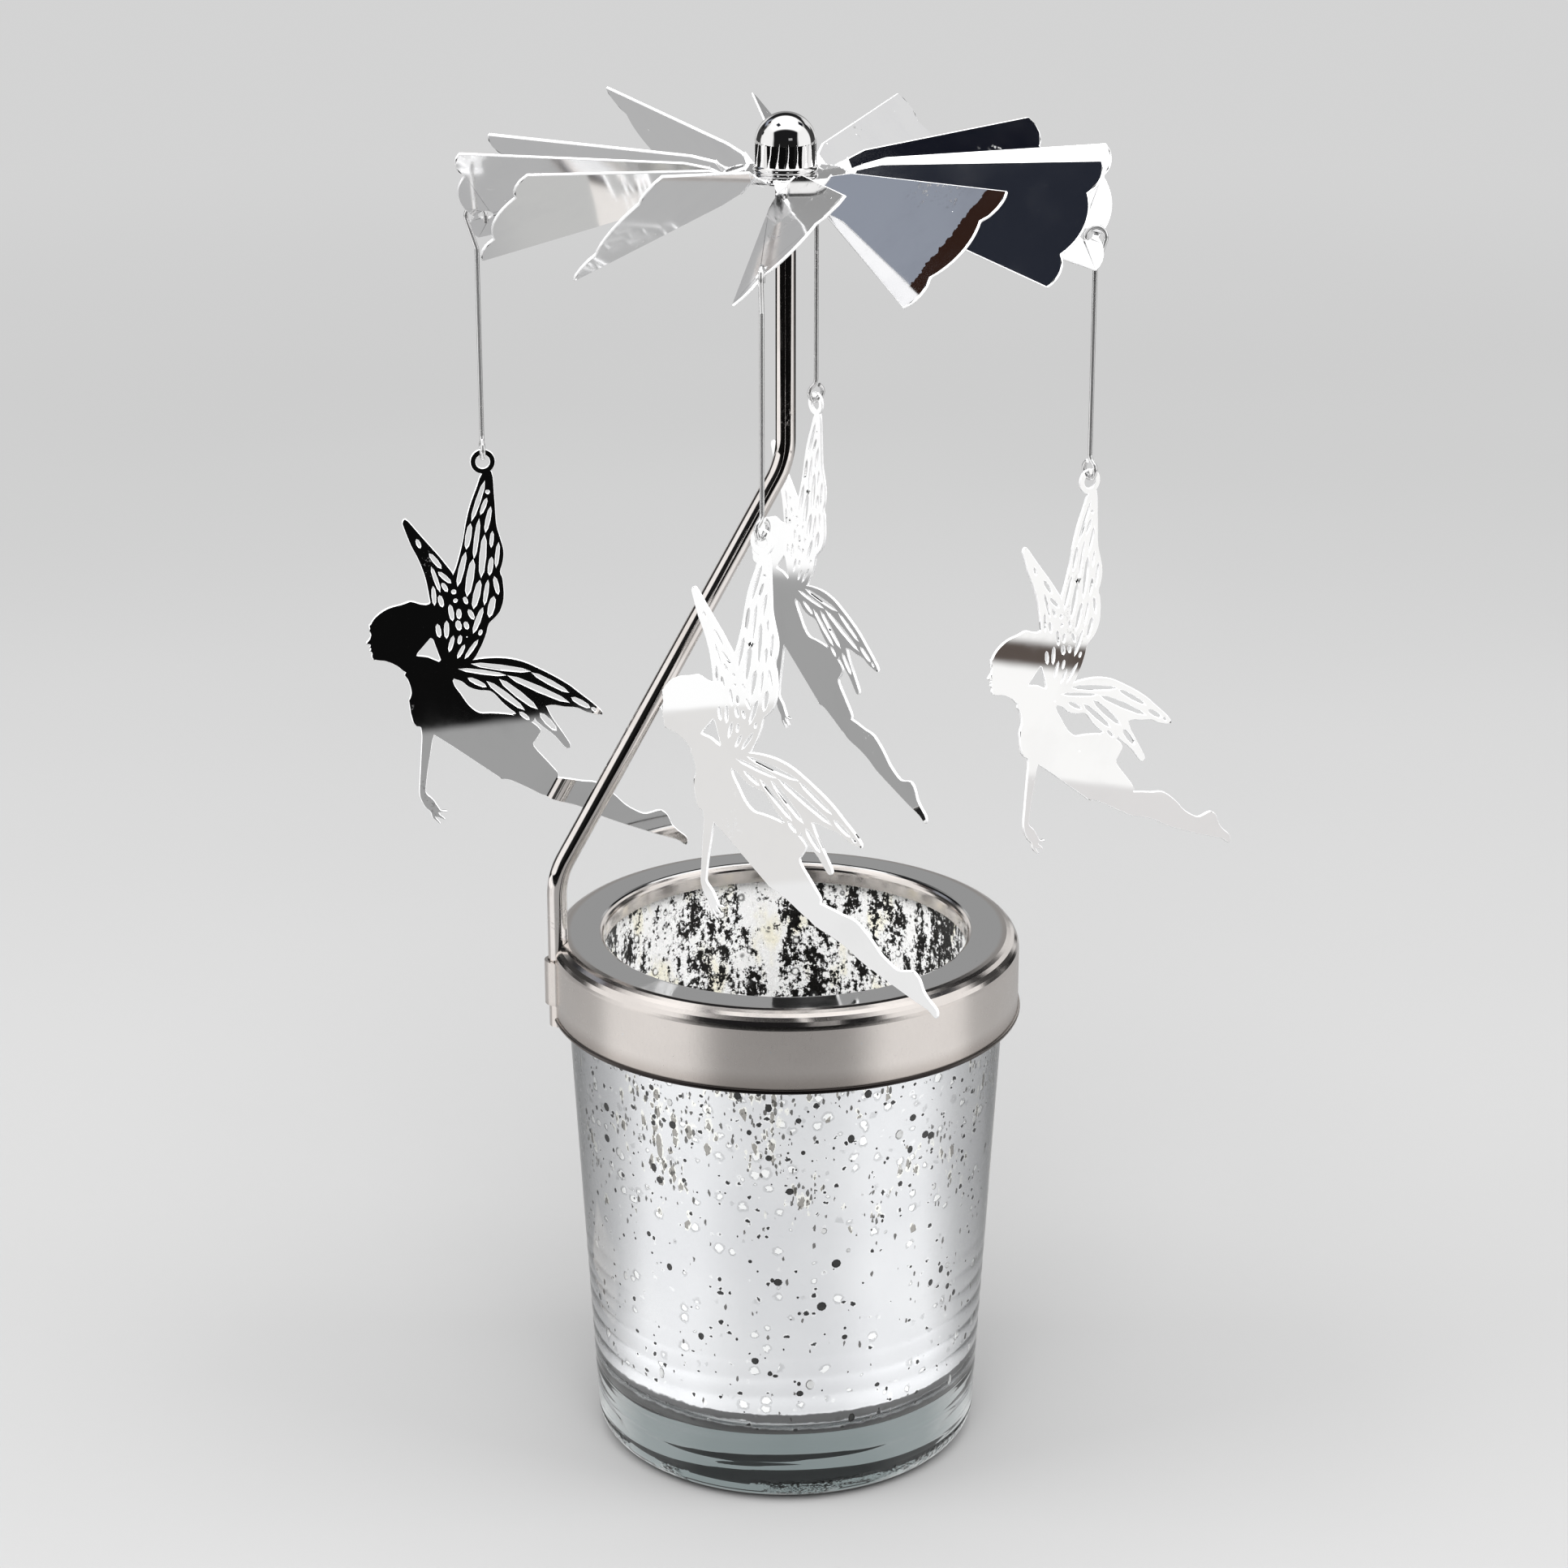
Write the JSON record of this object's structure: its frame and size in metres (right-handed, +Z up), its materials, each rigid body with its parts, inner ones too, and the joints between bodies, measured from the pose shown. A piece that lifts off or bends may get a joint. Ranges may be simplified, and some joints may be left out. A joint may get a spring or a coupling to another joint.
{
  "type": "candle carousel",
  "caption": "Tabletop candle carousel: silvered glass cup, metal collar, bent pole, and a bladed rotor with hanging flat winged-figure charms.",
  "frame": {"origin": "centre of the cup's flat base, on the table", "axes": "+Z up along the spin axis, +X to the right and +Y away as seen by someone who faces the carousel with the pole socket on their left"},
  "size_m": [0.1325, 0.1233, 0.2081],
  "materials": {
    "cup_glass": "clear outside with a mottled silver lining",
    "collar_steel": "satin plated",
    "pole_steel": "bright plated",
    "fan_chrome": "mirror bright plated sheet",
    "dome_chrome": "mirror bright plated",
    "pivot_brass": "turned",
    "bush_steel": "bright plated",
    "wire_steel": "drawn wire",
    "charm_chrome": "mirror bright plated sheet"
  },
  "bodies": {
    "cup": {"glass_cup": "cup_glass"},
    "stand": {"collar": "collar_steel", "pole": "pole_steel"},
    "rotor": {"fan": "fan_chrome", "dome_cap": "dome_chrome", "pivot_cup": "pivot_brass", "hub_bush": "bush_steel"},
    "hanger_left": {"hanger_left": "wire_steel"},
    "charm_left": {"fairy_left": "charm_chrome"},
    "hanger_front": {"hanger_front": "wire_steel"},
    "charm_front": {"fairy_front": "charm_chrome"},
    "hanger_right": {"hanger_right": "wire_steel"},
    "charm_right": {"fairy_right": "charm_chrome"},
    "hanger_back": {"hanger_back": "wire_steel"},
    "charm_back": {"fairy_back": "charm_chrome"}
  },
  "joints": [
    {"name": "collar_lift", "type": "slide", "parent": "cup", "child": "stand", "axis": [0, 0, 1], "range_m": [0, 0.03]},
    {"name": "rotor_spin", "type": "hinge", "parent": "stand", "child": "rotor", "pos_m": [0, 0, 0.2056], "axis": [0, 0, 1], "continuous": true},
    {"name": "hanger_left_swing", "type": "hinge", "parent": "rotor", "child": "hanger_left", "pos_m": [-0.04494, 0.00325, 0.19252], "axis": [-0.0721, -0.9974, 0], "range_deg": [-20, 3]},
    {"name": "hanger_front_swing", "type": "hinge", "parent": "rotor", "child": "hanger_front", "pos_m": [-0.00319, -0.04499, 0.19279], "axis": [0.9975, -0.0707, 0], "range_deg": [-20, 3]},
    {"name": "hanger_right_swing", "type": "hinge", "parent": "rotor", "child": "hanger_right", "pos_m": [0.04453, -0.00368, 0.19073], "axis": [0.0823, 0.9966, 0], "range_deg": [-20, 3]},
    {"name": "hanger_back_swing", "type": "hinge", "parent": "rotor", "child": "hanger_back", "pos_m": [0.00485, 0.04475, 0.1923], "axis": [-0.9942, 0.1078, 0], "range_deg": [-20, 3]},
    {"name": "charm_left_turn", "type": "hinge", "parent": "hanger_left", "child": "charm_left", "pos_m": [-0.04494, 0.00325, 0.156], "axis": [0, 0, 1], "range_deg": [-25, 25]},
    {"name": "charm_front_turn", "type": "hinge", "parent": "hanger_front", "child": "charm_front", "pos_m": [-0.00319, -0.04499, 0.156], "axis": [0, 0, 1], "range_deg": [-25, 25]},
    {"name": "charm_right_turn", "type": "hinge", "parent": "hanger_right", "child": "charm_right", "pos_m": [0.04453, -0.00368, 0.156], "axis": [0, 0, 1], "range_deg": [-25, 25]},
    {"name": "charm_back_turn", "type": "hinge", "parent": "hanger_back", "child": "charm_back", "pos_m": [0.00485, 0.04475, 0.156], "axis": [0, 0, 1], "range_deg": [-25, 25]}
  ]
}
